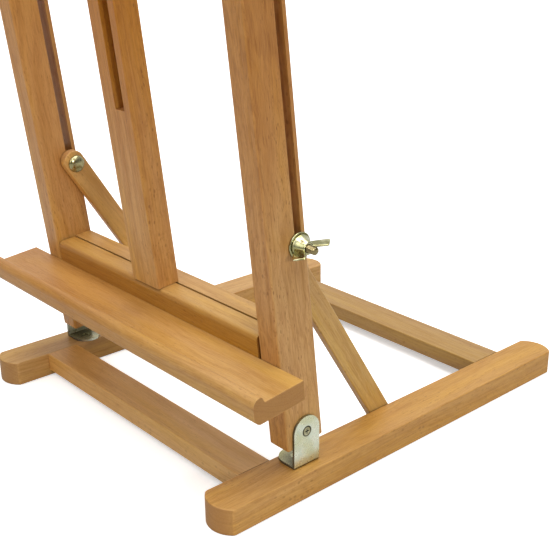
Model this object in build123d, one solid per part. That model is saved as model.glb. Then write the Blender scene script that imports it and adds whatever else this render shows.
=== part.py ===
from build123d import *
import os
from math import sin, cos, atan2, sqrt, radians, degrees, pi

# Tabletop H-frame easel in beech with zinc-yellow fittings.
# Millimetres, +Z up, +Y to the back, +X to the right of someone facing the easel.
# Origin: on the table top, under the middle of the whole easel (half its width, half its depth).
# The pieces are laid out from the middle of the base; Y_SHIFT then moves every piece back,
# because the canvas clamp stands further forward than the base.
# The upright frame is drawn upright in frame coordinates: x, v to the back, w up along the
# post, from the pivot. FRAME leans it and sets it on the pivot. _V and _W mark such sizes.
# A pair of numbers for a size is its low and high end.

os.makedirs("parts", exist_ok=True)

# ---------------------------------------------------------------- driving sizes
Y_SHIFT = 11.93           # from the middle of the base to the middle of the whole easel
# base
BASE_LEN = 398.0          # side rail length, tip to tip
RAIL_W = 33.5             # side rail width
RAIL_T = 22.0             # side rail thickness
RAIL_IN = 140.5           # half of the clear width between the side rails
TIP_R = 21.6              # radius of the shallow arc at a rail tip
BASE_ARRIS = 0.9          # rounding along the edges of the base rails
FRONT_RAIL_Y = (-160.5, -129.5)
FRONT_RAIL_T = 16.5
BACK_RAIL_Y = (119.6, 153.9)
BACK_RAIL_T = 14.4
RAIL_DOWEL_R = 3.0
RAIL_DOWEL_HALF = 15.0    # dowel length on each side of the joint
# hinge of the upright frame on the base
PIVOT_Y = -113.0
PIVOT_Z = 50.8
LEAN = 6.2                # forward lean of the frame at rest, degrees
FOLD = 92.0               # travel from rest to folded back, degrees
# posts
POST_X = (141.0, 162.4)
POST_V = (-17.9, 17.2)
POST_W = (-11.4, 400.0)
SLOT_V = 9.9              # centre of the post's slot
SLOT_HALF = 3.3
BOLT_W = 148.0            # strut bolt height at rest
# L-brackets
BRACKET_HALF = 12.7       # half the width, and the radius of both round ends
BRACKET_T = 2.0
BRACKET_END = 138.6       # x where the lying leg ends
BRACKET_IN = POST_X[1] + 0.15              # inner face of the standing leg
BRACKET_OUT = BRACKET_IN + BRACKET_T       # its outer face
FOOT_HOLE_X = BRACKET_END + BRACKET_HALF   # screw through the lying leg
# crossbars, ledge board, tray
LOW_V = (-1.3, 16.2)
LOW_W = (45.0, 79.8)
REBATE_V, REBATE_W = 1.7, 9.0   # open joint between lower crossbar and ledge board
TOP_V = (-1.3, 17.2)
TOP_W = (347.0, 382.0)
POST_DOWEL_R = 3.5
POST_DOWEL_OUT = 14.0     # dowel depth in the post
POST_DOWEL_IN = 20.0      # dowel depth in the crossbar
LEDGE_V = (-18.3, -1.4)
LEDGE_W = (46.4, 79.8)
LEDGE_HALF = 139.0
LEDGE_SCREW_X = (-95.0, 0.0, 95.0)            # from the back of the lower crossbar
LEDGE_SCREW_W = 64.5
TRAY_SCREW_X = (-120.0, -40.0, 40.0, 120.0)   # from the back of the ledge board
TRAY_SCREW_W = 54.0
TRAY_HALF = 187.6
TRAY_FRONT = -64.3        # front of the tray and of the clamp shelf
TRAY_TOP = 61.9
TRAY_BOT = 46.4
TRAY_LIP = 66.9
# mast
MAST_HALF = 18.0
MAST_V = (-18.3, 2.1)
MAST_W = (80.0, 530.0)
MAST_SLOT_X = 3.6         # the mast's slot stands a little right of centre
RECESS_HALF = 6.2
RECESS_D = 12.6
THRU_HALF = 3.3
MAST_SLOT_W = (229.0, 506.0)   # centres of the narrow slot's round ends
MAST_BOLT_W = 364.5
# upper canvas clamp
CLAMP_W = 450.0           # clamp bolt height at rest
PLATE_V = (-30.4, MAST_V[0] - 0.1)
PLATE_W = (CLAMP_W - 20.0, CLAMP_W + 24.0)
SHELF_HALF = 30.0
SHELF_T = 15.0
CLAMP_SCREW_X = (-10.0, 10.0)
# struts
STRUT_X = (132.1, 140.1)
STRUT_HALF = 9.8          # half the width, and the radius of both round ends
STRUT_NOSE = 2.5          # how far the upper rounded end is centred beyond the bolt
FOOT_Y = -1.0
FOOT_Z = 11.0
FOOT_SCREW_R = 2.25
# M6 hardware
BOLT_R = 3.0
HOLE_RUN = 3.08           # running bore around a bolt
BOLT_HEAD_R, BOLT_HEAD_H = 7.7, 4.2
WASH_R = 9.8
WASH_T = 1.5
HUB_H = 8.6
# countersunk screws: head radius, head height, shank radius
PIVOT_SCREW = (3.8, 1.35, 2.0)
BRACKET_SCREW = (3.5, 1.9, 1.75)
BOARD_SCREW = (3.9, 2.4, 2.0)
CLAMP_SCREW = (3.2, 2.2, 1.75)
LEDGE_SCREW_LEN = 30.0
TRAY_SCREW_LEN = 36.0
CLAMP_SCREW_LEN = 30.0
# clearances
FIT = 0.03                # radial, around dowels, bolts and screw heads
SCREW_FIT = 0.02          # radial, around screw shanks in wood
TIP_GAP = 0.2             # beyond the tip of a screw
DOWEL_GAP = 0.5           # beyond the end of a dowel

# ---------------------------------------------------------------- placing
FRAME = Pos(0, PIVOT_Y, PIVOT_Z) * Rot(LEAN, 0, 0)
# turns for hardware drawn along +X
TO_BACK = Rot(0, 0, 90)
TO_FRONT = Rot(0, 0, -90)
UP = Rot(0, -90, 0)
DOWN = Rot(0, 90, 0)
TO_LEFT = Rot(0, 180, 0)


def mirror_x(shape):
    return mirror(shape, about=Plane.YZ)


def group(items):
    return Compound(children=list(items))


def save(shape, name):
    shape = Pos(0, Y_SHIFT, 0) * shape
    shape.label = name
    export_step(shape, "parts/" + name + ".step")


def save_sides(shape, name):
    """the right-hand piece and its mirror image, one file each"""
    save(shape, name + "_right")
    save(mirror_x(shape), name + "_left")


# ---------------------------------------------------------------- basic shapes
def span(half):
    return (-half, half)


def block(x_range, y_range, z_range):
    (x0, x1), (y0, y1), (z0, z1) = x_range, y_range, z_range
    return Pos((x0 + x1) / 2, (y0 + y1) / 2, (z0 + z1) / 2) * Box(x1 - x0, y1 - y0, z1 - z0)


def rod_x(radius, x0, x1, y, z):
    return Pos((x0 + x1) / 2, y, z) * Rot(0, 90, 0) * Cylinder(radius, x1 - x0)


def rod_y(radius, y0, y1, x, z):
    return Pos(x, (y0 + y1) / 2, z) * Rot(90, 0, 0) * Cylinder(radius, y1 - y0)


def turned(points):
    """solid of revolution about the X axis from (x, radius) points"""
    return revolve(make_face(Polyline(*[(x, r, 0) for x, r in points], close=True)), Axis.X, 360)


def outline(start, *steps):
    """closed face: each step is an end point of a line, or a (via, end) pair for an arc"""
    edges = []
    here = start
    for step in steps:
        if isinstance(step[0], tuple):
            via, end = step
            edges.append(ThreePointArc(here, via, end))
        else:
            end = step
            edges.append(Line(here, end))
        here = end
    return make_face(edges)


def round_end(solid, index, radius):
    """round the outline of the lowest (0) or highest (-1) face"""
    return fillet(solid.faces().sort_by(Axis.Z)[index].outer_wire().edges(), radius)


# ---------------------------------------------------------------- hardware, drawn along +X
def wood_screw(sizes, length):
    """countersunk cross-recess screw, head face at x = 0, tip at x = length"""
    head_r, head_h, shank_r = sizes
    body = turned([(0, 0), (0, head_r), (0.25, head_r), (head_h, shank_r),
                   (length - 3.2, shank_r), (length, 0.35), (length, 0)])
    cross = block((-0.1, 0.95), span(head_r * 0.6), span(0.5))
    cross += block((-0.1, 0.95), span(0.5), span(head_r * 0.6))
    return body - cross


def screw_hole(sizes, depth, gap=FIT, shank_gap=SCREW_FIT):
    """cavity for a countersunk screw, head face at x = 0"""
    head_r, head_h, shank_r = sizes
    hole_r = shank_r + shank_gap
    return turned([(-0.5, 0), (-0.5, head_r + gap), (0.25 + gap, head_r + gap),
                   (head_h + gap, hole_r), (depth, hole_r), (depth, 0)])


def screw_bore(sizes, start, length):
    """plain bore for the front part of a screw's shank, from x = start"""
    return rod_x(sizes[2] + SCREW_FIT, start, length + TIP_GAP, 0, 0)


def coach_bolt(length):
    """domed bolt, underside of the head at x = 0, end at x = length"""
    rim = 0.5
    steps = 10
    points = [(length, 0), (length, BOLT_R - 0.8), (length - 0.8, BOLT_R), (0, BOLT_R),
              (0, BOLT_HEAD_R), (-rim, BOLT_HEAD_R)]
    for i in range(1, steps):
        angle = (pi / 2) * i / steps
        points.append((-rim - (BOLT_HEAD_H - rim) * sin(angle), BOLT_HEAD_R * cos(angle)))
    points.append((-BOLT_HEAD_H, 0))
    return turned(points)


def flat_washer():
    """from x = 0 to x = WASH_T"""
    ring = turned([(0, HOLE_RUN), (0, WASH_R), (WASH_T, WASH_R), (WASH_T, HOLE_RUN)])
    rims = ring.edges().filter_by(GeomType.CIRCLE).sort_by(SortBy.RADIUS)[-2:]
    return chamfer(rims, 0.35)


# (x, radius) of the flared hub, from the seat outwards
HUB_PROFILE = [(0, HOLE_RUN), (0, 8.1), (0.7, 8.3), (1.5, 7.7), (3.2, 6.4), (5.4, 5.4),
               (7.8, 4.9), (HUB_H, 4.6), (HUB_H, HOLE_RUN)]
# (x, y) of the wing on the +Y side
WING_OUTLINE = [(1.4, 3.4), (1.4, 7.0), (11.0, 17.5), (12.0, 17.5), (17.2, 11.4),
                (17.2, 10.4), (8.3, 3.4)]
WING_HALF_T = 0.8


def wing_nut():
    """seat at x = 0: flared hub, two broad flat wings along +-Y with blunt ends"""
    face = make_face(Polyline(*[(x, y, 0) for x, y in WING_OUTLINE], close=True))
    wing = extrude(face, WING_HALF_T, both=True)
    wings = wing + mirror(wing, about=Plane.XZ)
    return turned(HUB_PROFILE) + (wings - rod_x(HOLE_RUN, -1, 20, 0, 0))


# ---------------------------------------------------------------- doweled joints
def dowel_spots_y(y_range, z, inset):
    """(y, z) of two dowels side by side, inset from the middle"""
    middle = (y_range[0] + y_range[1]) / 2
    return [(middle - inset, z), (middle + inset, z)]


def dowel_spots_w(v_range, w_range):
    """(v, w) of two dowels, one above the other"""
    inset = 8.5
    middle = (v_range[0] + v_range[1]) / 2
    return [(middle, w_range[0] + inset), (middle, w_range[1] - inset)]


FRONT_SPOTS = dowel_spots_y(FRONT_RAIL_Y, RAIL_T - FRONT_RAIL_T / 2, 7.5)
BACK_SPOTS = dowel_spots_y(BACK_RAIL_Y, RAIL_T - BACK_RAIL_T / 2, 8.5)
LOW_SPOTS = dowel_spots_w(LOW_V, LOW_W)
TOP_SPOTS = dowel_spots_w(TOP_V, TOP_W)


def doweled_bar(half, y_range, z_range, arris, dowel_r, depth, spots):
    """bar along X with rounded long edges and dowel bores in both ends"""
    bar = block(span(half), y_range, z_range)
    bar = fillet(bar.edges().filter_by(Axis.X), arris)
    radius = dowel_r + FIT
    for y, z in spots:
        bar -= rod_x(radius, half - depth - DOWEL_GAP, half + 1, y, z)
        bar -= rod_x(radius, -half - 1, -half + depth + DOWEL_GAP, y, z)
    return bar


def dowels(radius, x0, x1, spots):
    pieces = []
    for y, z in spots:
        dowel = chamfer(rod_x(radius, x0, x1, y, z).edges(), 0.6)
        pieces += [dowel, mirror_x(dowel)]
    return group(pieces)


# ---------------------------------------------------------------- base
def side_rail():
    """right side rail, with a shallow arc at each tip"""
    x0, x1 = RAIL_IN, RAIL_IN + RAIL_W
    middle = (x0 + x1) / 2
    tip = BASE_LEN / 2
    corner = tip - (TIP_R - sqrt(TIP_R ** 2 - (RAIL_W / 2) ** 2))
    rail = extrude(outline((x0, -corner), (x0, corner), ((middle, tip), (x1, corner)),
                           (x1, -corner), ((middle, -tip), (x0, -corner))), RAIL_T)
    rail = fillet(rail.edges().filter_by(Axis.Z), 4.0)
    rail = round_end(rail, -1, BASE_ARRIS)
    rail = round_end(rail, 0, BASE_ARRIS)
    for y, z in FRONT_SPOTS + BACK_SPOTS:
        rail -= rod_x(RAIL_DOWEL_R + FIT, x0 - 1, x0 + RAIL_DOWEL_HALF + DOWEL_GAP, y, z)
    # bore for the bracket screw
    bore = rod_x(BRACKET_SCREW[2] + FIT, -1, 15.4, 0, 0)
    rail -= Pos(FOOT_HOLE_X, PIVOT_Y, RAIL_T) * DOWN * bore
    return rail


def cross_rail(y_range, thickness, spots):
    return doweled_bar(RAIL_IN, y_range, (RAIL_T - thickness, RAIL_T), BASE_ARRIS,
                       RAIL_DOWEL_R, RAIL_DOWEL_HALF, spots)


save_sides(side_rail(), "side_rail")
save(cross_rail(FRONT_RAIL_Y, FRONT_RAIL_T, FRONT_SPOTS), "front_cross_rail")
save(cross_rail(BACK_RAIL_Y, BACK_RAIL_T, BACK_SPOTS), "back_cross_rail")
save(dowels(RAIL_DOWEL_R, RAIL_IN - RAIL_DOWEL_HALF, RAIL_IN + RAIL_DOWEL_HALF,
            FRONT_SPOTS + BACK_SPOTS), "rail_dowels")

# ---------------------------------------------------------------- L-brackets and their screws
PIVOT_SCREW_AT = Pos(BRACKET_OUT, PIVOT_Y, PIVOT_Z) * TO_LEFT
BRACKET_SCREW_AT = Pos(FOOT_HOLE_X, PIVOT_Y, RAIL_T + BRACKET_T) * DOWN


def bend_edges(solid, x, z):
    """edges along Y at the given x and z"""
    return [e for e in solid.edges().filter_by(Axis.Y)
            if abs(e.center().X - x) < 0.01 and abs(e.center().Z - z) < 0.01]


def bracket():
    """right bracket: standing leg outside the post, lying leg under it, both round-ended"""
    front, back = PIVOT_Y - BRACKET_HALF, PIVOT_Y + BRACKET_HALF
    # the standing leg is drawn as (y, z) and turned into the YZ plane
    standing = extrude(outline((front, RAIL_T), (back, RAIL_T), (back, PIVOT_Z),
                               ((PIVOT_Y, PIVOT_Z + BRACKET_HALF), (front, PIVOT_Z)),
                               (front, RAIL_T)), BRACKET_T)
    standing = Pos(BRACKET_IN, 0, 0) * Plane.YZ.location * standing
    lying = extrude(outline((BRACKET_OUT, front), (BRACKET_OUT, back), (FOOT_HOLE_X, back),
                            ((BRACKET_END, PIVOT_Y), (FOOT_HOLE_X, front)),
                            (BRACKET_OUT, front)), BRACKET_T)
    legs = standing + Pos(0, 0, RAIL_T) * lying
    legs = fillet(bend_edges(legs, BRACKET_OUT, RAIL_T), 1.9)
    legs = fillet(bend_edges(legs, BRACKET_IN, RAIL_T + BRACKET_T), 0.9)
    legs -= PIVOT_SCREW_AT * screw_hole(PIVOT_SCREW, 6, gap=0.5, shank_gap=0.08)
    legs -= BRACKET_SCREW_AT * screw_hole(BRACKET_SCREW, 6, shank_gap=FIT)
    return legs


save_sides(bracket(), "bracket")
# the pivot screws are fixed in the posts and turn in the brackets
pivot_screw = PIVOT_SCREW_AT * wood_screw(PIVOT_SCREW, 19)
save(group([pivot_screw, mirror_x(pivot_screw)]), "pivot_screws")
bracket_screw = BRACKET_SCREW_AT * wood_screw(BRACKET_SCREW, 17)
save(group([bracket_screw, mirror_x(bracket_screw)]), "bracket_screws")

# ---------------------------------------------------------------- strut linkage
# Angles are of the post from vertical, to the back positive.
rest = radians(-LEAN)
folded = radians(-LEAN + FOLD)
# strut bolt at rest
bolt_y = SLOT_V * cos(rest) + BOLT_W * sin(rest) + PIVOT_Y
bolt_z = PIVOT_Z - SLOT_V * sin(rest) + BOLT_W * cos(rest)
strut_len = sqrt((bolt_y - FOOT_Y) ** 2 + (bolt_z - FOOT_Z) ** 2)
strut_lean = degrees(atan2(bolt_y - FOOT_Y, bolt_z - FOOT_Z))   # to the back positive
# folded: the height along the slot line that lies one strut length from the strut's foot
line_y = SLOT_V * cos(folded) + PIVOT_Y - FOOT_Y
line_z = PIVOT_Z - SLOT_V * sin(folded) - FOOT_Z
along = line_y * sin(folded) + line_z * cos(folded)
bolt_w_folded = -along + sqrt(along ** 2 - (line_y ** 2 + line_z ** 2 - strut_len ** 2))


# ---------------------------------------------------------------- posts and crossbars
def post():
    """right post, slotted for the travel of the strut bolt"""
    body = block(POST_X, POST_V, POST_W)
    body = fillet(body.edges().filter_by(Axis.Z), 1.8)
    body = round_end(body, -1, 1.6)
    body = round_end(body, 0, 1.0)
    x0, x1 = POST_X[0] - 1, POST_X[1] + 1
    low, high = BOLT_W - 0.2, bolt_w_folded + 2.0
    slot = block((x0, x1), (SLOT_V - SLOT_HALF, SLOT_V + SLOT_HALF), (low, high))
    for w in (low, high):
        slot += rod_x(SLOT_HALF, x0, x1, SLOT_V, w)
    body -= slot
    for v, w in LOW_SPOTS + TOP_SPOTS:
        body -= rod_x(POST_DOWEL_R + FIT, x0, POST_X[0] + POST_DOWEL_OUT + DOWEL_GAP, v, w)
    # pilot hole for the pivot screw
    body -= rod_x(PIVOT_SCREW[2] + SCREW_FIT, POST_X[1] - 17.5, x1, 0, 0)
    return body


def crossbar(v_range, w_range, arris, spots):
    return doweled_bar(POST_X[0], v_range, w_range, arris, POST_DOWEL_R, POST_DOWEL_IN, spots)


def lower_crossbar():
    bar = crossbar(LOW_V, LOW_W, 0.7, LOW_SPOTS)
    # rebate along the front top edge
    bar -= block(span(POST_X[0] + 1), (LOW_V[0] - 1, LOW_V[0] + REBATE_V),
                 (LOW_W[1] - REBATE_W, LOW_W[1] + 1))
    for x in LEDGE_SCREW_X:
        bar -= ledge_screw_at(x) * screw_hole(BOARD_SCREW, 30)
    return bar


def top_crossbar():
    bar = crossbar(TOP_V, TOP_W, 1.2, TOP_SPOTS)
    # housing that keeps the mast upright, and the hole for its bolt
    bar -= block(span(MAST_HALF + 0.2), (TOP_V[0] - 1, MAST_V[1] + 0.2),
                 (TOP_W[0] - 1, TOP_W[1] + 1))
    bar -= rod_y(BOLT_R + FIT, 0, 30, MAST_SLOT_X, MAST_BOLT_W)
    return bar


# ---------------------------------------------------------------- ledge board and tray
def ledge_screw_at(x):
    return Pos(x, LOW_V[1], LEDGE_SCREW_W) * TO_FRONT


def tray_screw_at(x):
    return Pos(x, LEDGE_V[1], TRAY_SCREW_W) * TO_FRONT


def ledge_board():
    """board between the posts, in front of the lower crossbar; front top edge well rounded"""
    board = block(span(LEDGE_HALF), LEDGE_V, LEDGE_W)
    board = fillet([e for e in board.edges().filter_by(Axis.X)
                    if e.center().Z > LEDGE_W[1] - 0.1 and e.center().Y < LEDGE_V[0] + 0.1], 4.5)
    board = fillet([e for e in board.edges().filter_by(Axis.X)
                    if e.center().Z > LEDGE_W[1] - 0.1 and e.center().Y > LEDGE_V[1] - 0.1], 0.5)
    for x in LEDGE_SCREW_X:
        board -= ledge_screw_at(x) * screw_bore(BOARD_SCREW, 10, LEDGE_SCREW_LEN)
    for x in TRAY_SCREW_X:
        board -= tray_screw_at(x) * screw_hole(BOARD_SCREW, 30)
    return board


# (v, w) steps round the tray's section, from the bottom back corner
TRAY_OUTLINE = [
    (LEDGE_V[0], TRAY_BOT), (LEDGE_V[0], TRAY_TOP), (-53.8, TRAY_TOP), (-55.1, TRAY_LIP - 2.2),
    ((-55.9, TRAY_LIP - 0.65), (-57.5, TRAY_LIP)),
    ((-62.1, TRAY_LIP - 1.9), (TRAY_FRONT, TRAY_LIP - 6.2)),
    (TRAY_FRONT, TRAY_BOT + 6.6),
    ((-62.9, TRAY_BOT + 2.4), (-59.4, TRAY_BOT)),
    (LEDGE_V[0], TRAY_BOT)]


def canvas_tray():
    """flat board with a raised, rounded lip along its front"""
    tray = Plane.YZ.location * extrude(outline(*TRAY_OUTLINE), TRAY_HALF, both=True)
    ends = [f for f in tray.faces() if abs(abs(f.center().X) - TRAY_HALF) < 0.01]
    tray = chamfer([e for f in ends for e in f.outer_wire().edges()
                    if e.length > 30 and e.center().Z > TRAY_TOP - 0.1], 0.3)
    for x in TRAY_SCREW_X:
        tray -= tray_screw_at(x) * screw_bore(BOARD_SCREW, 10, TRAY_SCREW_LEN)
    return tray


save_sides(FRAME * post(), "post")
save(FRAME * lower_crossbar(), "lower_crossbar")
save(FRAME * top_crossbar(), "top_crossbar")
save(FRAME * dowels(POST_DOWEL_R, POST_X[0] - POST_DOWEL_IN, POST_X[0] + POST_DOWEL_OUT,
                    LOW_SPOTS + TOP_SPOTS), "crossbar_dowels")
save(FRAME * ledge_board(), "ledge_board")
save(FRAME * canvas_tray(), "canvas_tray")
ledge_screw = wood_screw(BOARD_SCREW, LEDGE_SCREW_LEN)
save(FRAME * group([ledge_screw_at(x) * ledge_screw for x in LEDGE_SCREW_X]), "ledge_screws")
tray_screw = wood_screw(BOARD_SCREW, TRAY_SCREW_LEN)
save(FRAME * group([tray_screw_at(x) * tray_screw for x in TRAY_SCREW_X]), "tray_screws")


# ---------------------------------------------------------------- mast
def mast():
    body = block(span(MAST_HALF), MAST_V, MAST_W)
    body = fillet(body.edges().filter_by(Axis.Z), 0.9)
    # the two upper corners are well rounded, seen from the front
    body = fillet([e for e in body.edges().filter_by(Axis.Y)
                   if e.center().Z > MAST_W[1] - 0.5], 9.0)
    # wide recess in the front face, narrow slot right through
    body -= block((MAST_SLOT_X - RECESS_HALF, MAST_SLOT_X + RECESS_HALF),
                  (MAST_V[0] - 1, MAST_V[0] + RECESS_D),
                  (MAST_SLOT_W[0] - 3.7, MAST_SLOT_W[1] + 6.0))
    v0, v1 = MAST_V[0] - 1, MAST_V[1] + 1
    slot = block((MAST_SLOT_X - THRU_HALF, MAST_SLOT_X + THRU_HALF), (v0, v1), MAST_SLOT_W)
    for w in MAST_SLOT_W:
        slot += rod_y(THRU_HALF, v0, v1, MAST_SLOT_X, w)
    return body - slot


def mast_bolt():
    """holds the mast against the top crossbar: low round head lying in the mast's recess"""
    head_v = MAST_V[0] + RECESS_D - 0.05
    end_v = TOP_V[1] + WASH_T + HUB_H + 5.0
    bolt = rod_y(5.9, head_v - 3.4, head_v, MAST_SLOT_X, MAST_BOLT_W)
    bolt = fillet(bolt.edges().sort_by(Axis.Y)[0], 1.4)
    bolt += rod_y(BOLT_R, head_v - 0.5, end_v, MAST_SLOT_X, MAST_BOLT_W)
    return chamfer(bolt.edges().filter_by(GeomType.CIRCLE).sort_by(Axis.Y)[-1], 0.7)


def save_back_nut(name, v, w, turn):
    """washer and wing nut on a bolt in the mast's slot, washer seated at v, nut turned"""
    save(FRAME * Pos(MAST_SLOT_X, v, w) * TO_BACK * flat_washer(), name + "_washer")
    save(FRAME * Pos(MAST_SLOT_X, v + WASH_T, w) * Rot(0, turn, 0) * TO_BACK * wing_nut(),
         name + "_wing_nut")


save(FRAME * mast(), "mast")
save(FRAME * mast_bolt(), "mast_bolt")
save_back_nut("mast", TOP_V[1], MAST_BOLT_W, 12)


# ---------------------------------------------------------------- upper canvas clamp
SHELF_TOP = PLATE_W[0]
SHELF_BOT = SHELF_TOP - SHELF_T
# (v, w) steps round the shelf's section, with a lip below its front, from the top back corner
SHELF_OUTLINE = [
    (PLATE_V[1], SHELF_TOP), (-59.0, SHELF_TOP),
    ((-62.7, SHELF_TOP - 1.6), (TRAY_FRONT, SHELF_TOP - 5.3)),
    (TRAY_FRONT, SHELF_BOT),
    ((-63.2, SHELF_BOT - 2.8), (-60.4, SHELF_BOT - 4.0)),
    (-58.0, SHELF_BOT - 4.0),
    ((-56.7, SHELF_BOT - 3.7), (-55.9, SHELF_BOT - 2.8)),
    (-53.6, SHELF_BOT), (PLATE_V[1], SHELF_BOT), (PLATE_V[1], SHELF_TOP)]


def clamp_screw_at(x):
    return Pos(x, (PLATE_V[0] + PLATE_V[1]) / 2, SHELF_BOT) * UP


def clamp_plate():
    plate = block(span(MAST_HALF), PLATE_V, PLATE_W)
    plate = fillet([e for e in plate.edges().filter_by(Axis.Y)
                    if e.center().Z > CLAMP_W + 20], 11.0)
    plate = fillet([e for e in plate.edges() if e.center().Y < PLATE_V[0] + 0.01
                    and e.center().Z > PLATE_W[0] + 0.1], 2.0)
    # tongue that runs in the mast's recess
    tongue_half = RECESS_HALF - 0.2
    plate += block((MAST_SLOT_X - tongue_half, MAST_SLOT_X + tongue_half),
                   (PLATE_V[1] - 1, MAST_V[0] + 4.0), (CLAMP_W - 17, CLAMP_W + 17))
    plate -= rod_y(BOLT_R + FIT, -40, 10, MAST_SLOT_X, CLAMP_W)
    for x in CLAMP_SCREW_X:
        plate -= clamp_screw_at(x) * screw_bore(CLAMP_SCREW, 5, CLAMP_SCREW_LEN)
    return plate


def clamp_shelf():
    shelf = Plane.YZ.location * extrude(outline(*SHELF_OUTLINE), SHELF_HALF, both=True)
    ends = [f for f in shelf.faces() if abs(abs(f.center().X) - SHELF_HALF) < 0.01]
    shelf = chamfer([e for f in ends for e in f.outer_wire().edges()], 0.6)
    for x in CLAMP_SCREW_X:
        shelf -= clamp_screw_at(x) * screw_hole(CLAMP_SCREW, 32)
    return shelf


save(FRAME * clamp_plate(), "clamp_plate")
save(FRAME * clamp_shelf(), "clamp_shelf")
clamp_screw = wood_screw(CLAMP_SCREW, CLAMP_SCREW_LEN)
save(FRAME * group([clamp_screw_at(x) * clamp_screw for x in CLAMP_SCREW_X]), "clamp_screws")
clamp_bolt = coach_bolt(MAST_V[1] + WASH_T + HUB_H + 4.0 - PLATE_V[0])
save(FRAME * Pos(MAST_SLOT_X, PLATE_V[0], CLAMP_W) * TO_BACK * clamp_bolt, "clamp_bolt")
save_back_nut("clamp", MAST_V[1] + 0.1, CLAMP_W, -24)


# ---------------------------------------------------------------- struts
def strut():
    """right strut, drawn upright from its foot screw, then leaned forward to the bolt"""
    x0, x1 = STRUT_X
    top = strut_len + STRUT_NOSE
    body = block(STRUT_X, span(STRUT_HALF), (0, top))
    body = body + rod_x(STRUT_HALF, x0, x1, 0, 0) + rod_x(STRUT_HALF, x0, x1, 0, top)
    sides = [f for f in body.faces() if abs(f.normal_at(f.center()).X) > 0.99]
    body = fillet([e for f in sides for e in f.outer_wire().edges()], 1.3)
    body -= rod_x(BOLT_R + FIT, x0 - 1, x1 + 1, 0, strut_len)
    body -= rod_x(FOOT_SCREW_R + FIT, x0 - 1, x1 + 1, 0, 0)
    return Pos(0, FOOT_Y, FOOT_Z) * Rot(-strut_lean, 0, 0) * body


def strut_foot_screw():
    """low domed head with a cross recess; ends level with the strut's outer side"""
    head = turned([(0, 0), (0, 4.6), (-0.7, 4.6), (-1.9, 3.6), (-2.5, 2.0), (-2.7, 0)])
    screw = head + rod_x(FOOT_SCREW_R, -0.1, STRUT_X[1] - STRUT_X[0], 0, 0)
    screw -= (block((-3, -1.3), span(2.2), span(0.45))
              + block((-3, -1.3), span(0.45), span(2.2)))
    return Pos(STRUT_X[0], FOOT_Y, FOOT_Z) * screw


save_sides(strut(), "strut")
# the bolt's domed head lies on the strut's inner side; its shank passes through the post's slot
strut_bolt = coach_bolt(POST_X[1] + WASH_T + HUB_H + 7.4 - STRUT_X[0])
save_sides(Pos(STRUT_X[0], bolt_y, bolt_z) * strut_bolt, "strut_bolt")
save_sides(Pos(POST_X[1] + 0.05, bolt_y, bolt_z) * flat_washer(), "strut_washer")
save_sides(Pos(POST_X[1] + 0.1 + WASH_T, bolt_y, bolt_z) * Rot(LEAN + 5.4, 0, 0) * wing_nut(),
           "strut_wing_nut")
save_sides(strut_foot_screw(), "strut_foot_screw")
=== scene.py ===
import bpy, bmesh, math, random
from mathutils import Vector, Matrix, Euler


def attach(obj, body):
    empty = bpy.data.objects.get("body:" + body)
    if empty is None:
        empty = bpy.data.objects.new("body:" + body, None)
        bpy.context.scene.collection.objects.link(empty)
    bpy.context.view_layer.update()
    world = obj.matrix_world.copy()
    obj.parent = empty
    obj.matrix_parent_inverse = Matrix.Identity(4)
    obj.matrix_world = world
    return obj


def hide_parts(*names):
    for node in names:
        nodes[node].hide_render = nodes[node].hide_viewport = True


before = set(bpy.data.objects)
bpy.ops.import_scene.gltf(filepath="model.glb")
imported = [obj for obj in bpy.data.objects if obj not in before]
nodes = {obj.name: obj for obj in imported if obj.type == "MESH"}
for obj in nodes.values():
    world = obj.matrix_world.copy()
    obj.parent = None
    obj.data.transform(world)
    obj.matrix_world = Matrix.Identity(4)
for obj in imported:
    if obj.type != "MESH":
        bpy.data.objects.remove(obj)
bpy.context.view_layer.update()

# ------------------------------------------------------------------ layout, in metres, as in the CAD
YS = 0.01193
LEAN = math.radians(6.2)
PIV = Vector((0, -0.113 + YS, 0.0508))
AX_X = Vector((1, 0, 0))
AX_V = Vector((0, math.cos(LEAN), math.sin(LEAN)))     # to the back of the upright frame
AX_W = Vector((0, -math.sin(LEAN), math.cos(LEAN)))    # up along the posts
FRAME = Matrix.Translation(PIV) @ Matrix.Rotation(LEAN, 4, "X")
MM = 0.001


def fr(x, v, w):
    return PIV + AX_X * x * MM + AX_V * v * MM + AX_W * w * MM


# ------------------------------------------------------------------ node helpers
def srgb(r, g, b):
    def f(c):
        c = c / 255.0
        return c / 12.92 if c <= 0.04045 else ((c + 0.055) / 1.055) ** 2.4
    return (f(r), f(g), f(b), 1.0)


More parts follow.
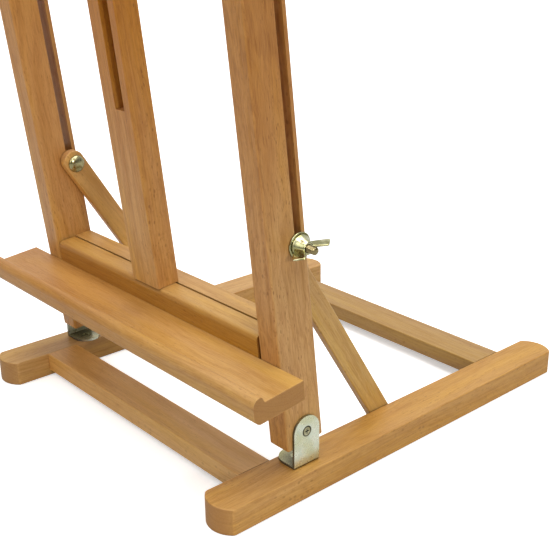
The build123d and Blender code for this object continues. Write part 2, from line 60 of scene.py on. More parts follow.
class T:
    """short-hand for building a shader tree"""

    def __init__(self, tree):
        self.t = tree
        tree.nodes.clear()

    def put(self, sock, v):
        if v is None:
            return
        if isinstance(v, bpy.types.NodeSocket):
            self.t.links.new(v, sock)
        else:
            sock.default_value = v

    def node(self, kind, **attrs):
        n = self.t.nodes.new(kind)
        for k, v in attrs.items():
            setattr(n, k, v)
        return n

    def m(self, op, a, b=None, c=None, clamp=False):
        n = self.node("ShaderNodeMath", operation=op, use_clamp=clamp)
        for s, v in zip(n.inputs, (a, b, c)):
            self.put(s, v)
        return n.outputs[0]

    def v(self, op, a, b=None, scale=None):
        n = self.node("ShaderNodeVectorMath", operation=op)
        self.put(n.inputs[0], a)
        if b is not None:
            self.put(n.inputs[1], b)
        if scale is not None:
            self.put(n.inputs["Scale"], scale)
        return n.outputs["Value"] if op in ("DOT_PRODUCT", "LENGTH", "DISTANCE") else n.outputs["Vector"]

    def xyz(self, x, y, z):
        n = self.node("ShaderNodeCombineXYZ")
        for s, v in zip(n.inputs, (x, y, z)):
            self.put(s, v)
        return n.outputs[0]

    def sep(self, v):
        n = self.node("ShaderNodeSeparateXYZ")
        self.put(n.inputs[0], v)
        return n.outputs

    def noise(self, vec, scale=1.0, detail=2.0, rough=0.5, dist=0.0, color=False, dims="3D"):
        n = self.node("ShaderNodeTexNoise", noise_dimensions=dims)
        self.put(n.inputs["Vector"], vec)
        self.put(n.inputs["Scale"], scale)
        self.put(n.inputs["Detail"], detail)
        self.put(n.inputs["Roughness"], rough)
        self.put(n.inputs["Distortion"], dist)
        return n.outputs["Color" if color else "Fac"]

    def voronoi(self, vec, scale=1.0, feature="F1"):
        n = self.node("ShaderNodeTexVoronoi", voronoi_dimensions="3D", feature=feature)
        self.put(n.inputs["Vector"], vec)
        self.put(n.inputs["Scale"], scale)
        return n.outputs["Distance"], n.outputs["Color"]

    def ramp(self, v, a, b, lo=0.0, hi=1.0, smooth=True):
        n = self.node("ShaderNodeMapRange", interpolation_type="SMOOTHSTEP" if smooth else "LINEAR")
        self.put(n.inputs["Value"], v)
        self.put(n.inputs["From Min"], a)
        self.put(n.inputs["From Max"], b)
        self.put(n.inputs["To Min"], lo)
        self.put(n.inputs["To Max"], hi)
        return n.outputs["Result"]

    def mix(self, fac, a, b, mode="MIX"):
        n = self.node("ShaderNodeMix", data_type="RGBA", blend_type=mode, clamp_factor=True)
        self.put(n.inputs["Factor"], fac)
        self.put(n.inputs["A"] if False else n.inputs[6], a)
        self.put(n.inputs[7], b)
        return n.outputs[2]

    def bump(self, height, strength, distance, normal=None):
        n = self.node("ShaderNodeBump")
        self.put(n.inputs["Height"], height)
        self.put(n.inputs["Strength"], strength)
        self.put(n.inputs["Distance"], distance)
        self.put(n.inputs["Normal"], normal)
        return n.outputs["Normal"]

    def edge(self, radius, lo=0.004, hi=0.10):
        """1 at outer and inner edges, 0 on flats"""
        b = self.node("ShaderNodeBevel", samples=4)
        self.put(b.inputs["Radius"], radius)
        g = self.node("ShaderNodeNewGeometry")
        d = self.v("DOT_PRODUCT", b.outputs["Normal"], g.outputs["Normal"])
        return self.ramp(self.m("SUBTRACT", 1.0, d), lo, hi)

    def ao(self, distance, inside=False):
        n = self.node("ShaderNodeAmbientOcclusion", samples=6, inside=inside)
        self.put(n.inputs["Distance"], distance)
        return n.outputs["AO"]

    def finish(self, **inputs):
        p = self.node("ShaderNodeBsdfPrincipled")
        for k, v in inputs.items():
            self.put(p.inputs[k.replace("_", " ")], v)
        o = self.node("ShaderNodeOutputMaterial")
        self.t.links.new(p.outputs[0], o.inputs[0])
        return p


def material(name):
    m = bpy.data.materials.new(name)
    m.use_nodes = True
    return m, T(m.node_tree)


# ------------------------------------------------------------------ beech
def beech(name, g, a, p0, pith, seed, gold=0.5, tone=(1, 1, 1), wavy=1.0, figure=1.0, deep=None, faces=None, painted_top_light=None, taper=(0.012, 0.008), ringw=2.7):
    """solid beech: growth rings round a pith line, ray flecks, fibre streaks, end grain.
    g is the grain direction, a one cross direction, p0 a point in the piece, pith the ring centre in mm from it,
    deep (z0, z1, rgb) a drift of colour along the board, faces (rgb, rgb) how the faces across a differ at its two ends."""
    mat, t = material(name)
    g, a = Vector(g).normalized(), Vector(a).normalized()
    b = g.cross(a)
    tc = t.node("ShaderNodeTexCoord")
    rel = t.v("SUBTRACT", tc.outputs["Object"], tuple(p0))
    x = t.m("MULTIPLY", t.v("DOT_PRODUCT", rel, tuple(a)), 1000.0)
    y = t.m("MULTIPLY", t.v("DOT_PRODUCT", rel, tuple(b)), 1000.0)
    z = t.m("MULTIPLY", t.v("DOT_PRODUCT", rel, tuple(g)), 1000.0)
    s = seed * 37.13
    # slow and quick wander of the rings
    n1 = t.noise(t.xyz(t.m("MULTIPLY_ADD", x, 0.016, s), t.m("MULTIPLY_ADD", y, 0.016, s * 0.7), t.m("MULTIPLY_ADD", z, 0.0052, s * 0.3)),
                 1.0, 1.5, 0.45, color=True)
    n2 = t.noise(t.xyz(t.m("MULTIPLY_ADD", x, 0.11, s), t.m("MULTIPLY_ADD", y, 0.11, s), t.m("MULTIPLY_ADD", z, 0.022, s)),
                 1.0, 2.0, 0.5, color=True)
    o1, o2 = t.sep(n1), t.sep(n2)
    qx = t.m("ADD", x, t.m("ADD", t.m("MULTIPLY", t.m("SUBTRACT", o1[0], 0.5), 17.0 * wavy), t.m("MULTIPLY", t.m("SUBTRACT", o2[0], 0.5), 1.6 * wavy)))
    qy = t.m("ADD", y, t.m("ADD", t.m("MULTIPLY", t.m("SUBTRACT", o1[1], 0.5), 17.0 * wavy), t.m("MULTIPLY", t.m("SUBTRACT", o2[1], 0.5), 1.6 * wavy)))
    dx = t.m("ADD", t.m("SUBTRACT", qx, pith[0]), t.m("MULTIPLY", z, taper[0]))
    dy = t.m("ADD", t.m("SUBTRACT", qy, pith[1]), t.m("MULTIPLY", z, taper[1]))
    r = t.m("SQRT", t.m("ADD", t.m("MULTIPLY", dx, dx), t.m("MULTIPLY", dy, dy)))
    th = t.m("MULTIPLY", t.m("ARCTAN2", dy, dx), math.hypot(*pith))
    # growth rings: uneven years, thin darker late wood
    uneven = t.noise(t.xyz(t.m("MULTIPLY", r, 0.17), s, 3.3), 1.0, 1.0, 0.5)
    phase = t.m("ADD", t.m("DIVIDE", r, ringw), t.m("MULTIPLY", uneven, 2.2))
    f = t.m("FRACT", phase)
    late = t.m("MULTIPLY", t.ramp(f, 0.28, 0.93), t.ramp(f, 0.93, 1.0, 1.0, 0.0))
    year = t.noise(t.xyz(t.m("FLOOR", phase), s, 0.5), 1.0, 0.0, 0.5)
    late = t.m("MULTIPLY", late, t.ramp(year, 0.3, 0.7, 0.25, 1.0))
    # ray flecks: short dark spindles on flat-sawn faces, broader ones on quarter-sawn faces
    vd, vc = t.voronoi(t.xyz(t.m("DIVIDE", th, 1.7), t.m("DIVIDE", r, 4.5), t.m("MULTIPLY_ADD", z, 1 / 6.4, s)))
    keep = t.sep(vc)
    fleck = t.m("MULTIPLY", t.ramp(vd, 0.13, 0.34, 1.0, 0.0), t.ramp(keep[0], 0.35, 0.85))
    vd2, vc2 = t.voronoi(t.xyz(t.m("DIVIDE", th, 0.85), t.m("DIVIDE", r, 2.6), t.m("MULTIPLY_ADD", z, 1 / 3.4, s + 9)))
    fine = t.m("MULTIPLY", t.ramp(vd2, 0.12, 0.36, 1.0, 0.0), t.ramp(t.sep(vc2)[1], 0.3, 0.9))
    patch = t.ramp(t.noise(t.xyz(t.m("MULTIPLY_ADD", th, 0.05, s), t.m("MULTIPLY", r, 0.05), t.m("MULTIPLY_ADD", z, 0.012, s)), 1.0, 2.0), 0.38, 0.62)
    # fibre streaks and pores
    fib = t.noise(t.xyz(t.m("MULTIPLY_ADD", th, 0.9, s), t.m("MULTIPLY", r, 0.9), t.m("MULTIPLY", z, 0.035)), 1.0, 3.0, 0.6)
    pore = t.noise(t.xyz(t.m("MULTIPLY_ADD", th, 3.2, s), t.m("MULTIPLY", r, 3.2), t.m("MULTIPLY", z, 0.30)), 1.0, 2.0, 0.6)
    # small wavy dashes and a slow shimmer across the board
    wob = t.noise(t.xyz(t.m("MULTIPLY_ADD", th, 0.10, s), t.m("MULTIPLY", r, 0.10), t.m("MULTIPLY_ADD", z, 0.05, s)), 1.0, 1.0, 0.5)
    thw = t.m("ADD", th, t.m("MULTIPLY", t.m("SUBTRACT", wob, 0.5), 6.0))
    dash = t.noise(t.xyz(t.m("MULTIPLY_ADD", thw, 0.85, s), t.m("MULTIPLY", r, 0.22), t.m("MULTIPLY_ADD", z, 0.066, s)), 1.0, 2.0, 0.55)
    shim = t.noise(t.xyz(t.m("MULTIPLY_ADD", thw, 0.16, s + 7), t.m("MULTIPLY", r, 0.16), t.m("MULTIPLY_ADD", z, 0.028, s)), 1.0, 2.0, 0.5)
    # broad tonal bands, golden against pinkish
    band = t.noise(t.xyz(t.m("MULTIPLY_ADD", th, 0.035, s), t.m("MULTIPLY", r, 0.075), t.m("MULTIPLY_ADD", z, 0.0045, s)), 1.0, 2.0, 0.5)
    hue = t.ramp(t.m("ADD", band, (gold - 0.5) * 0.5), 0.36, 0.64)
    light = t.noise(t.xyz(t.m("MULTIPLY_ADD", th, 0.06, s + 4), t.m("MULTIPLY", r, 0.22), t.m("MULTIPLY_ADD", z, 0.0035, s)), 1.0, 2.5, 0.55)
    c = t.mix(hue, srgb(200, 148, 94), srgb(205, 150, 70))
    c = t.mix(t.m("MULTIPLY", t.ramp(light, 0.30, 0.70), 0.75), c, srgb(178, 121, 58), "MIX")
    c = t.mix(t.ramp(shim, 0.34, 0.66, 0.0, 0.20 * figure), c, srgb(214, 164, 108))
    c = t.mix(t.ramp(dash, 0.48, 0.68, 0.0, 0.20 * figure * figure), c, srgb(140, 84, 34))
    c = t.mix(t.ramp(dash, 0.48, 0.32, 0.0, 0.14 * figure * figure), c, srgb(226, 178, 118))
    c = t.mix(t.m("MULTIPLY", late, 0.20 * figure), c, srgb(146, 88, 34))
    c = t.mix(t.ramp(fib, 0.36, 0.66, 0.0, 0.30), c, srgb(220, 170, 104))
    c = t.mix(t.m("MULTIPLY", fleck, t.m("MULTIPLY_ADD", patch, 0.34 * figure, 0.12 * figure)), c, srgb(122, 68, 22))
    c = t.mix(t.m("MULTIPLY", fine, t.m("MULTIPLY_ADD", patch, 0.24 * figure, 0.10 * figure)), c, srgb(130, 76, 28))
    c = t.mix(t.ramp(pore, 0.52, 0.74, 0.0, 0.20), c, srgb(128, 78, 34))
    # end grain drinks the finish
    d = t.m("ABSOLUTE", t.v("DOT_PRODUCT", tc.outputs["Normal"], tuple(g)))
    end = t.ramp(d, 0.45, 0.92)
    endc = t.mix(t.m("MULTIPLY", late, 0.22), srgb(172, 120, 72), srgb(132, 84, 44))
    endc = t.mix(t.ramp(pore, 0.42, 0.62, 0.0, 0.30), endc, srgb(120, 76, 40))
    c = t.mix(t.m("MULTIPLY", end, 0.85), c, endc)
    # softened arrises lightened by wear plus a painted highlight; painted shade in the corners
    edge = t.edge(0.0011, 0.01, 0.16)
    wear_and_highlight = t.m("MULTIPLY", edge, t.ramp(t.noise(tc.outputs["Object"], 90.0, 2.0), 0.35, 0.65, 0.12, 0.45))
    c = t.mix(wear_and_highlight, c, srgb(226, 180, 118))
    # painted shade: ambient occlusion darkens corners and joints
    ao = t.ao(0.0028)
    c = t.mix(t.ramp(ao, 0.10, 0.75, 0.55, 0.0), c, srgb(98, 58, 26), "MULTIPLY")
    if deep:
        fade = t.ramp(t.m("ADD", z, t.m("MULTIPLY", t.m("SUBTRACT", light, 0.5), 90.0)), deep[0], deep[1])
        c = t.mix(fade, c, t.mix(1.0, c, (*deep[2], 1.0), "MULTIPLY"))
        if faces:
            fa = t.ramp(t.m("ABSOLUTE", t.v("DOT_PRODUCT", tc.outputs["Normal"], tuple(a))), 0.45, 0.85)
            c = t.mix(fa, c, t.mix(1.0, c, t.mix(fade, (*faces[0], 1.0), (*faces[1], 1.0)), "MULTIPLY"))
    c = t.mix(1.0, c, (*tone, 1.0), "MULTIPLY")
    if painted_top_light:
        # painted light: upward faces are lightened and paled as if lit from above
        c = t.mix(t.ramp(t.sep(tc.outputs["Normal"])[2], 0.5, 0.9), c, t.mix(1.0, c, (*painted_top_light, 1.0), "MULTIPLY"))
    h = t.m("SUBTRACT", t.m("MULTIPLY", fib, 0.5), t.m("ADD", t.m("MULTIPLY", fleck, 0.5), t.m("ADD", t.m("MULTIPLY", late, 0.25), t.ramp(pore, 0.5, 0.75, 0.0, 0.5))))
    h = t.m("SUBTRACT", h, t.m("MULTIPLY", end, t.m("MULTIPLY", pore, 1.3)))
    nrm = t.bump(h, 0.32, 0.00022)
    rough = t.m("ADD", t.ramp(fib, 0.3, 0.7, 0.50, 0.40), t.m("MULTIPLY", end, 0.16))
    rough = t.m("SUBTRACT", rough, t.m("MULTIPLY", edge, 0.08))
    t.finish(Base_Color=c, Roughness=rough, Normal=nrm, Specular_IOR_Level=0.42, Coat_Weight=0.10, Coat_Roughness=0.34, Coat_Normal=nrm)
    return mat


# ------------------------------------------------------------------ metals
def zinc(name, base, alt, cool, rough=0.18, scale=1.0, dark=srgb(70, 62, 22), sheet=False, tip=None):
    """yellow-passivated zinc plate: pale brass colour that drifts to green and pink, fine scratches, edges lightened by
    wear plus a painted highlight
    """
    mat, t = material(name)
    tc = t.node("ShaderNodeTexCoord")
    p = tc.outputs["Object"]
    big = t.noise(p, 60.0 * scale, 2.0, 0.5, 0.4)
    mid = t.noise(p, 210.0 * scale, 2.0, 0.5, 0.5)
    tiny = t.noise(p, 2600.0, 2.0, 0.6)
    c = t.mix(t.ramp(big, 0.38, 0.62), base, alt)
    c = t.mix(t.ramp(mid, 0.42, 0.75, 0.0, 0.45), c, cool)
    c = t.mix(t.ramp(tiny, 0.60, 0.85, 0.0, 0.05 if sheet else 0.16), c, dark)
    sc = t.noise(t.v("MULTIPLY", p, (380.0, 5200.0, 900.0)), 1.0, 2.0, 0.5)
    # edges lightened: wear plus a painted highlight
    edge = t.edge(0.0006, 0.02, 0.25)
    c = t.mix(t.m("MULTIPLY", edge, 0.45), c, srgb(252, 250, 226))
    # painted shade: ambient occlusion darkens hollows, more strongly on sheet and screws
    ao = t.ao(0.0035)
    c = t.mix(t.ramp(ao, 0.20, 0.72, 0.94, 0.0) if sheet or "screw" in name else t.ramp(ao, 0.12, 0.62, 0.85, 0.0), c, dark, "MIX")
    # painted shadow and old oil in the countersink round the pivot screw, lighter towards the bottom
    off = t.v("SUBTRACT", p, tuple(PIV))
    d = t.v("LENGTH", t.v("MULTIPLY", off, (0.0, 1.0, 1.0)))
    rim = t.m("MULTIPLY", t.ramp(d, 0.0031, 0.0035), t.ramp(d, 0.0042, 0.0046, 1.0, 0.0))
    low = t.ramp(t.sep(off)[2], -0.0040, 0.0005, 0.62, 0.96)
    c = t.mix(t.m("MULTIPLY", rim, low), c, dark)
    if sheet:
        # painted shade: the sheet's edges facing front and back are darkened, and so is the lying leg where it is
        # occluded under the post; upward faces are tinted warmer
        ny = t.m("ABSOLUTE", t.sep(tc.outputs["Normal"])[1])
        c = t.mix(t.ramp(ny, 0.55, 0.9, 0.0, 0.8), c, dark)
        c = t.mix(t.m("MULTIPLY", t.ramp(t.sep(tc.outputs["Normal"])[2], 0.4, 0.8), t.ramp(t.ao(0.022), 0.25, 1.0, 0.90, 0.0)), c, dark)
        c = t.mix(t.ramp(t.sep(tc.outputs["Normal"])[2], 0.4, 0.8), c, (1.0, 0.90, 0.66, 1.0), "MULTIPLY")
    r = t.m("ADD", t.ramp(mid, 0.3, 0.75, rough - 0.04, rough + 0.07), t.ramp(sc, 0.5, 0.8, 0.0, 0.07))
    h = t.m("ADD", t.m("MULTIPLY", mid, 0.5), t.m("ADD", t.m("MULTIPLY", sc, 0.30), t.m("MULTIPLY", tiny, 0.15)))
    nrm = t.bump(h, 0.08 if sheet else 0.16, 0.00006)
    if tip:
        # the threaded ends are browner and duller than the heads
        ends = t.ramp(t.m("ABSOLUTE", t.sep(p)[0]), 0.164, 0.166)
        mid_x = t.m("LESS_THAN", t.m("ABSOLUTE", t.sep(p)[0]), 0.05)
        back = t.m("MULTIPLY", mid_x, t.ramp(t.v("DOT_PRODUCT", t.v("SUBTRACT", p, tuple(PIV)), tuple(AX_V)), 0.010, 0.012))
        c = t.mix(t.m("MAXIMUM", ends, back), c, tip, "MULTIPLY")
    t.finish(Base_Color=c, Metallic=0.72 if sheet else 1.0, Roughness=r, Normal=nrm)
    return mat


def assign(obj, mat):
    obj.data.materials.clear()
    obj.data.materials.append(mat)
    for p in obj.data.polygons:
        p.material_index = 0


def smooth_by_angle(obj, deg=32):
    obj.data.shade_smooth()
    me = obj.data
    if hasattr(me, "set_sharp_from_angle"):
        me.set_sharp_from_angle(angle=math.radians(deg))


# one material per board, so that no two boards share a figure
STRUT_TOP = fr(0, 9.9, 148.0)
STRUT_FOOT = Vector((0, -0.001 + YS, 0.011))
SD = (STRUT_TOP - STRUT_FOOT).normalized()
Y, X, Z = (0, 1, 0), (1, 0, 0), (0, 0, 1)
DEEP = (0.98, 0.86, 0.62)
DIM = (0.86, 0.78, 0.66)
woods = {
    #  node             grain  cross  origin                     pith (mm)      seed gold tone              wavy figure deep, faces, top
    "side_rail_right": (Y, X, Vector((0.157, 0, 0.011)), (14, -62), 1, 0.60, (1.02, 1.08, 0.93), 1.0, 1.0, (-150, -40, (0.84, 0.80, 0.62)), None, None),
    "side_rail_left": (Y, X, Vector((-0.157, 0, 0.011)), (-20, 66), 2, 0.35, (0.90, 0.99, 0.93), 0.9, 0.9, None, None, None),
    "front_cross_rail": (X, Y, Vector((0, -0.145, 0.014)), (10, 58), 3, 0.20, (1.18, 1.38, 1.50), 1.0, 0.7, (90, -120, (0.98, 0.86, 0.62)), None, None),
    "back_cross_rail": (X, Y, Vector((0, 0.137, 0.014)), (-16, 52), 4, 0.60, (0.70, 0.80, 0.76), 0.9, 0.7, None, None, None),
    "post_right": (AX_W, X, fr(151.7, 0, 150), (78, 8), 5, 0.42, (0.98, 0.98, 0.92), 1.25, 1.35, (-60, 130, (0.94, 0.82, 0.60)), ((0.98, 1.05, 1.10), (0.90, 0.87, 0.83)), None),
    "post_left": (AX_W, X, fr(-151.7, 0, 150), (-70, 22), 6, 0.50, (0.97, 0.98, 0.94), 1.2, 1.1, (-90, 130, DEEP), None, None),
    "mast": (AX_W, X, fr(0, -8, 250), (36, 64), 7, 0.50, (1.04, 1.08, 1.04), 1.1, 1.15, (-160, 60, (0.87, 0.62, 0.20)), ((0.90, 0.84, 0.76), (0.95, 1.00, 1.0)), None),
    "canvas_tray": (X, AX_V, fr(0, -41, 55), (12, 74), 8, 0.60, (0.97, 1.03, 0.84), 1.1, 0.85, (150, -90, (0.80, 0.68, 0.53)), None, (1.04, 1.07, 1.26)),
    "ledge_board": (X, AX_V, fr(0, -10, 62), (-24, 46), 9, 0.60, (0.84, 0.80, 0.36), 1.0, 0.9, (110, -90, DIM), None, (1.19, 1.40, 2.7)),
    "lower_crossbar": (X, AX_V, fr(0, 7, 62), (30, 48), 10, 0.45, (1.03, 1.16, 1.14), 1.0, 0.8, (110, -90, DIM), None, None),
    "top_crossbar": (X, AX_V, fr(0, 7, 364), (-18, 50), 11, 0.55, (0.96, 0.96, 0.86), 1.0, 1.0, None, None, None),
    "strut_right": (SD, X, STRUT_TOP + Vector((0.136, 0, 0)), (54, 20), 12, 0.60, (0.97, 1.17, 1.32), 1.0, 0.9, None, None, None),
    "strut_left": (SD, X, STRUT_TOP + Vector((-0.136, 0, 0)), (-50, 26), 13, 0.40, (1.18, 1.28, 1.24), 1.0, 0.8, None, None, None),
    "clamp_plate": (AX_W, X, fr(0, -24, 450), (20, 52), 14, 0.55, (0.96, 0.94, 0.82), 0.8, 1.0, None, None, None),
    "clamp_shelf": (X, AX_V, fr(0, -41, 422), (-16, 60), 15, 0.65, (0.98, 0.96, 0.84), 0.8, 1.0, None, None, None),
    "rail_dowels": (X, Y, Vector((0, 0, 0.014)), (18, 34), 16, 0.50, (0.95, 0.98, 0.95), 0.6, 1.0, None, None, None),
    "crossbar_dowels": (X, AX_V, fr(0, 7, 62), (18, 34), 17, 0.50, (0.95, 0.98, 0.95), 0.6, 1.0, None, None, None),
}
for n, (g, a, p0, pith, seed, gold, tone, wavy, figure, deep, faces, painted_top_light) in woods.items():
    m = beech("beech_" + n, g, a, p0, pith, seed, gold, tone, wavy, figure, deep, faces, painted_top_light)
    assign(nodes[n], m)

plate = zinc("zinc_plate", srgb(222, 227, 209), srgb(206, 209, 175), srgb(198, 214, 200), rough=0.28, scale=0.9, dark=srgb(50, 44, 24), sheet=True)
HW = (srgb(206, 201, 160), srgb(154, 149, 102), srgb(178, 186, 154))
hard = zinc("zinc_hardware", *HW, rough=0.17, scale=1.5, dark=srgb(56, 46, 12))
screw = zinc("zinc_screw", srgb(196, 192, 158), srgb(150, 142, 100), srgb(168, 174, 150), rough=0.24, scale=2.0, dark=srgb(30, 25, 12))
bolt_zinc = zinc("zinc_bolt", srgb(176, 168, 126), srgb(132, 120, 76), srgb(146, 150, 122), rough=0.24, scale=1.5, dark=srgb(50, 42, 14), tip=(0.66, 0.58, 0.50, 1.0))
for n in nodes:
    if n in woods:
        continue
    if n.startswith("bracket_") and not n.endswith("screws"):
        assign(nodes[n], plate)
    elif "screw" in n:
        assign(nodes[n], screw)
    else:
        assign(nodes[n], hard)


# ------------------------------------------------------------------ cast wing nuts
def new_object(name, bm):
    me = bpy.data.meshes.new(name)
    bm.normal_update()
    bm.to_mesh(me)
    bm.free()
    o = bpy.data.objects.new(name, me)
    bpy.context.scene.collection.objects.link(o)
    return o


def lathe_x(bm, prof, n=48):
    """closed ring of revolution about X from a closed (x, r) loop, mm"""
    rings = []
    for i in range(n):
        a = 2 * math.pi * i / n
        rings.append([bm.verts.new((x, r * math.cos(a), r * math.sin(a))) for x, r in prof])
    k = len(prof)
    for i in range(n):
        A, B = rings[i], rings[(i + 1) % n]
        for j in range(k):
            bm.faces.new((A[j], A[(j + 1) % k], B[(j + 1) % k], B[j]))


def loft(bm, sections, n=24):
    """closed loft through (centre, u axis, v axis, half u, half v, power)"""
    rows = []
    for c, u, v, hu, hv, pw in sections:
        row = []
        for i in range(n):
            a = 2 * math.pi * i / n
            ca, sa = math.cos(a), math.sin(a)
            e = 2.0 / pw
            row.append(bm.verts.new(c + u * hu * math.copysign(abs(ca) ** e, ca) + v * hv * math.copysign(abs(sa) ** e, sa)))
        rows.append(row)
    for A, B in zip(rows, rows[1:]):
        for j in range(n):
            bm.faces.new((A[j], A[(j + 1) % n], B[(j + 1) % n], B[j]))
    bm.faces.new(rows[0][::-1])
    bm.faces.new(rows[-1])


def pressed_nut_mesh():
    """pressed wing nut, axis +X, seat at x = 0, wings along +-Y: flared skirt, thin broad wings with blunt ends"""
    bm = bmesh.new()
    R = 3.08
    lathe_x(bm, [(0.0, R), (0.0, 8.05), (0.3, 8.3), (0.75, 8.3), (1.25, 8.0), (2.2, 7.35), (3.3, 6.75), (4.6, 6.2), (6.0, 5.7), (7.2, 5.2), (8.1, 4.75), (8.6, 4.1), (8.6, R)])
    #  centre line, half width, half thickness, power of the section's superellipse
    path = [(4.2, 4.0), (5.3, 5.6), (6.6, 7.1), (8.0, 8.6), (9.6, 10.2), (11.2, 11.7), (12.6, 12.95), (13.6, 13.8), (14.2, 14.3), (14.5, 14.55)]
    half = [3.3, 3.75, 4.1, 4.35, 4.55, 4.7, 4.75, 4.65, 4.2, 3.3]
    thick = [1.7, 1.35, 1.05, 0.92, 0.86, 0.85, 0.85, 0.84, 0.72, 0.45]
    for s in (1, -1):
        secs = []
        for i, (x, y) in enumerate(path):
            a = path[max(i - 1, 0)]
            b = path[min(i + 1, len(path) - 1)]
            d = Vector((b[0] - a[0], (b[1] - a[1]) * s, 0)).normalized()
            u = Vector((-d.y, d.x, 0)) * s
            secs.append((Vector((x, y * s, 0)), u, Vector((0, 0, 1)) * s, half[i], thick[i], 4.5))
        if s < 0:
            secs = [(c, u, -v, hu, hv, pw) for c, u, v, hu, hv, pw in secs][::-1]
        loft(bm, secs, 40)
    bmesh.ops.recalc_face_normals(bm, faces=bm.faces)
    bmesh.ops.scale(bm, vec=(MM, MM, MM), verts=bm.verts)
    o = new_object("nut_source", bm)
    md = o.modifiers.new("remesh", "REMESH")
    md.mode = "VOXEL"
    md.voxel_size = 0.00026
    sm = o.modifiers.new("smooth", "SMOOTH")
    sm.factor = 0.5
    sm.iterations = 4
    dg = bpy.context.evaluated_depsgraph_get()
    me = bpy.data.meshes.new_from_object(o.evaluated_get(dg))
    bpy.data.objects.remove(o)
    me.name = "pressed_wing_nut"
    me.shade_smooth()
    me.materials.clear()
    me.materials.append(hard)
    return me


NUT = pressed_nut_mesh()


def put_nut(name, node, body, matrix):
    me = NUT.copy()
    me.transform(matrix)
    if matrix.determinant() < 0:
        me.flip_normals()
    o = bpy.data.objects.new(name, me)
    bpy.context.scene.collection.objects.link(o)
    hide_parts(node)
    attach(o, body)
    return o


NX = 0.1624 + 0.0001 + 0.0015
strut_nut = Matrix.Translation(Vector((NX, STRUT_TOP.y, STRUT_TOP.z))) @ Matrix.Rotation(math.radians(11.6), 4, "X")
MIR = Matrix.Scale(-1, 4, Vector((1, 0, 0)))
put_nut("cast_wing_nut_right", "strut_wing_nut_right", "strut_nut_right", strut_nut)
put_nut("cast_wing_nut_left", "strut_wing_nut_left", "strut_nut_left", MIR @ strut_nut)
TO_V = Matrix.Rotation(math.radians(90), 4, "Z")
put_nut("cast_mast_wing_nut", "mast_wing_nut", "mast_nut",
        FRAME @ Matrix.Translation(Vector((3.6, 17.2 + 1.5, 364.5)) * MM) @ Matrix.Rotation(math.radians(12), 4, "Y") @ TO_V)
put_nut("cast_clamp_wing_nut", "clamp_wing_nut", "clamp_nut",
        FRAME @ Matrix.Translation(Vector((3.6, 2.1 + 0.1 + 1.5, 450.0)) * MM) @ Matrix.Rotation(math.radians(-24), 4, "Y") @ TO_V)


# ------------------------------------------------------------------ bolts with rolled M6 threads
def bolt_mesh(length, thread_from, head):
    """bolt along +X in mm, underside of the head at x = 0: head profile, plain shank, helical thread, chamfered end"""
    n = 40
    major, depth, pitch = 2.98, 0.50, 1.0
    rows = [(x, r, False) for x, r in head]
    rows += [(0.0, major, False), (thread_from, major, False)]
    x = thread_from + 0.1
    while x < length - 1e-6:
        rows.append((x, major, True))
        x += 0.1
    rows.append((length, major, True))
    bm = bmesh.new()
    rings = []
    for x, r, cut in rows:
        ring = []
        for k in range(n):
            a = 2 * math.pi * k / n
            rr = r
            if cut:
                ph = (x / pitch - k / n) % 1.0
                root = min(max((abs(ph - 0.5) * 2 - 0.15) / 0.7, 0.0), 1.0)
                fade = min((x - thread_from) / 1.2, 1.0)
                rr = min(r - depth * root * fade, major - max(x - (length - 0.8), 0.0))
            ring.append(bm.verts.new((x, rr * math.cos(a), rr * math.sin(a))))
        rings.append(ring)
    for A, B in zip(rings, rings[1:]):
        for k in range(n):
            bm.faces.new((A[k], B[k], B[(k + 1) % n], A[(k + 1) % n]))
    for ring, x in ((rings[0], rows[0][0]), (rings[-1], rows[-1][0])):
        c = bm.verts.new((x, 0, 0))
        for k in range(n):
            bm.faces.new((c, ring[k], ring[(k + 1) % n]))
    bmesh.ops.recalc_face_normals(bm, faces=bm.faces)
    bmesh.ops.scale(bm, vec=(MM, MM, MM), verts=bm.verts)
    return bm


def put_bolt(name, node, body, matrix, length, thread_from, head):
    bm = bolt_mesh(length, thread_from, head)
    bm.transform(matrix)
    o = new_object(name, bm)
    assign(o, bolt_zinc)
    smooth_by_angle(o, 48)
    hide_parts(node)
    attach(o, body)
    return o


DOME = [(-0.5 - 3.7 * math.sin(math.pi / 2 * i / 12), 7.7 * math.cos(math.pi / 2 * i / 12)) for i in range(11, 0, -1)] + [(-0.5, 7.7), (0.0, 7.7)]
LOW = [(-3.4, 4.5)] + [(-3.4 + 1.4 * (1 - math.cos(math.pi / 2 * i / 6)), 4.5 + 1.4 * math.sin(math.pi / 2 * i / 6)) for i in range(1, 7)] + [(0.0, 5.9)]
put_bolt("threaded_bolt_right", "strut_bolt_right", "strut_bolt_right_set",
         Matrix.Translation(Vector((0.1321, STRUT_TOP.y, STRUT_TOP.z))), 47.8, 24.0, DOME)
put_bolt("threaded_bolt_left", "strut_bolt_left", "strut_bolt_left_set",
         Matrix.Translation(Vector((-0.1321, STRUT_TOP.y, STRUT_TOP.z))) @ Matrix.Rotation(math.pi, 4, "Z"), 47.8, 24.0, DOME)
put_bolt("threaded_clamp_bolt", "clamp_bolt", "clamp",
         FRAME @ Matrix.Translation(Vector((3.6, -30.4, 450.0)) * MM) @ TO_V, 46.6, 26.0, DOME)
put_bolt("threaded_mast_bolt", "mast_bolt", "frame",
         FRAME @ Matrix.Translation(Vector((3.6, -5.75, 364.5)) * MM) @ TO_V, 38.05, 16.0, LOW)

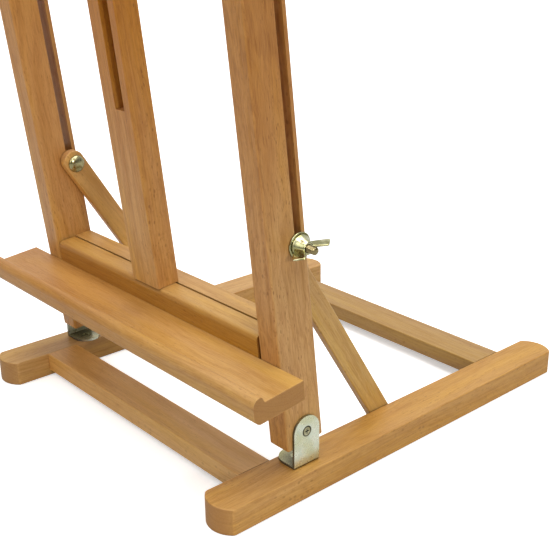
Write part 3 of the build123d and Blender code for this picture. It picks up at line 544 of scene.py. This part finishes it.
# ------------------------------------------------------------------ floor, light, camera
bm = bmesh.new()
bmesh.ops.create_grid(bm, x_segments=1, y_segments=1, size=30.0)
floor = new_object("floor", bm)
floor.location = (0, 0, -0.0002)
fm, t = material("pale_floor")
tc = t.node("ShaderNodeTexCoord")
sp = t.noise(tc.outputs["Object"], 3.0, 3.0)
far = t.ramp(t.v("LENGTH", tc.outputs["Object"]), 0.45, 1.3)
lpf = t.node("ShaderNodeLightPath")
pale = t.mix(sp, srgb(247, 247, 247), srgb(250, 250, 249))
dim = t.mix(far, srgb(203, 195, 178), srgb(150, 148, 144))
mid = t.mix(lpf.outputs["Is Glossy Ray"], pale, srgb(216, 217, 217))
t.finish(Base_Color=t.mix(lpf.outputs["Is Diffuse Ray"], mid, dim), Roughness=0.9, Specular_IOR_Level=0.1,
         Emission_Color=(1.0, 1.0, 1.0, 1.0), Emission_Strength=t.m("MULTIPLY", lpf.outputs["Is Camera Ray"], 0.45))
assign(floor, fm)

world = bpy.data.worlds.new("studio")
bpy.context.scene.world = world
world.use_nodes = True
w = T(world.node_tree)
geo = w.node("ShaderNodeNewGeometry")
inc = w.sep(geo.outputs["Incoming"])       # points from the sky back to the viewer
up = w.m("MULTIPLY", inc[2], -1.0)
lp = w.node("ShaderNodeLightPath")
sky = w.node("ShaderNodeBackground")
w.put(sky.inputs["Color"], (0.97, 0.985, 1.0, 1.0))
w.put(sky.inputs["Strength"], w.m("ADD", 0.28, w.m("MULTIPLY", lp.outputs["Is Camera Ray"], 0.77)))
# what shiny metal sees: two soft boxes in a dim studio
box1 = w.ramp(w.v("DOT_PRODUCT", geo.outputs["Incoming"], tuple(-Vector((0.55, -0.10, 0.80)).normalized())), 0.84, 0.93)
box2 = w.ramp(w.v("DOT_PRODUCT", geo.outputs["Incoming"], tuple(-Vector((0.1, -0.95, 0.45)).normalized())), 0.90, 0.96)
back = w.ramp(w.v("DOT_PRODUCT", geo.outputs["Incoming"], (0.73, -0.68, 0.0)), 0.25, 0.60)
refl = w.m("ADD", w.m("MULTIPLY", box1, 1.8), w.m("ADD", w.m("MULTIPLY", box2, 0.9), w.m("MAXIMUM", w.m("MULTIPLY", back, 0.85), w.ramp(up, -0.1, 0.9, 0.10, 0.62))))
gl = w.node("ShaderNodeBackground")
w.put(gl.inputs["Color"], (1.0, 1.0, 1.0, 1.0))
w.put(gl.inputs["Strength"], refl)
mixs = w.node("ShaderNodeMixShader")
w.t.links.new(lp.outputs["Is Glossy Ray"], mixs.inputs[0])
w.t.links.new(sky.outputs[0], mixs.inputs[1])
w.t.links.new(gl.outputs[0], mixs.inputs[2])
out = w.node("ShaderNodeOutputWorld")
w.t.links.new(mixs.outputs[0], out.inputs[0])


def sun(name, direction, strength, angle, color=(1, 1, 1)):
    """direction points from the object towards the light"""
    l = bpy.data.lights.new(name, "SUN")
    l.energy, l.angle, l.color = strength, math.radians(angle), color
    o = bpy.data.objects.new(name, l)
    o.rotation_euler = Vector(direction).to_track_quat("Z", "Y").to_euler()
    bpy.context.scene.collection.objects.link(o)
    return o


sun("key", (0.03, 0.05, 1.0), 2.66, 64, (1.0, 0.99, 0.97))
sun("side", (1.0, -0.30, 0.40), 0.80, 6, (1.0, 0.99, 0.97))
sun("front", (-0.10, -1.0, 0.75), 0.50, 40, (1.0, 0.99, 0.98))

az, el, roll = math.radians(46.827), math.radians(21.605), math.radians(-0.301)
fwd = Vector((-math.sin(az) * math.cos(el), math.cos(az) * math.cos(el), -math.sin(el)))
right = Vector((math.cos(az), math.sin(az), 0))
down = fwd.cross(right)
r2 = right * math.cos(roll) + down * math.sin(roll)
d2 = -right * math.sin(roll) + down * math.cos(roll)
cam = bpy.data.cameras.new("camera")
cam.sensor_width = 36.0
cam.sensor_fit = "HORIZONTAL"
cam.lens = 996.11 / 550 * 36.0
cam.shift_x = (275 - 312.5) / 550
cam.shift_y = (283.07 - 275) / 550
cam.clip_start, cam.clip_end = 0.01, 200
co = bpy.data.objects.new("camera", cam)
M = Matrix((r2, -d2, -fwd)).transposed().to_4x4()
M.translation = Vector((0.64222, -0.55629 + YS, 0.42793))
co.matrix_world = M
bpy.context.scene.collection.objects.link(co)
bpy.context.scene.camera = co
vs = bpy.context.scene.view_settings
vs.view_transform = "Standard"
vs.look = "None"
vs.exposure = 0.0
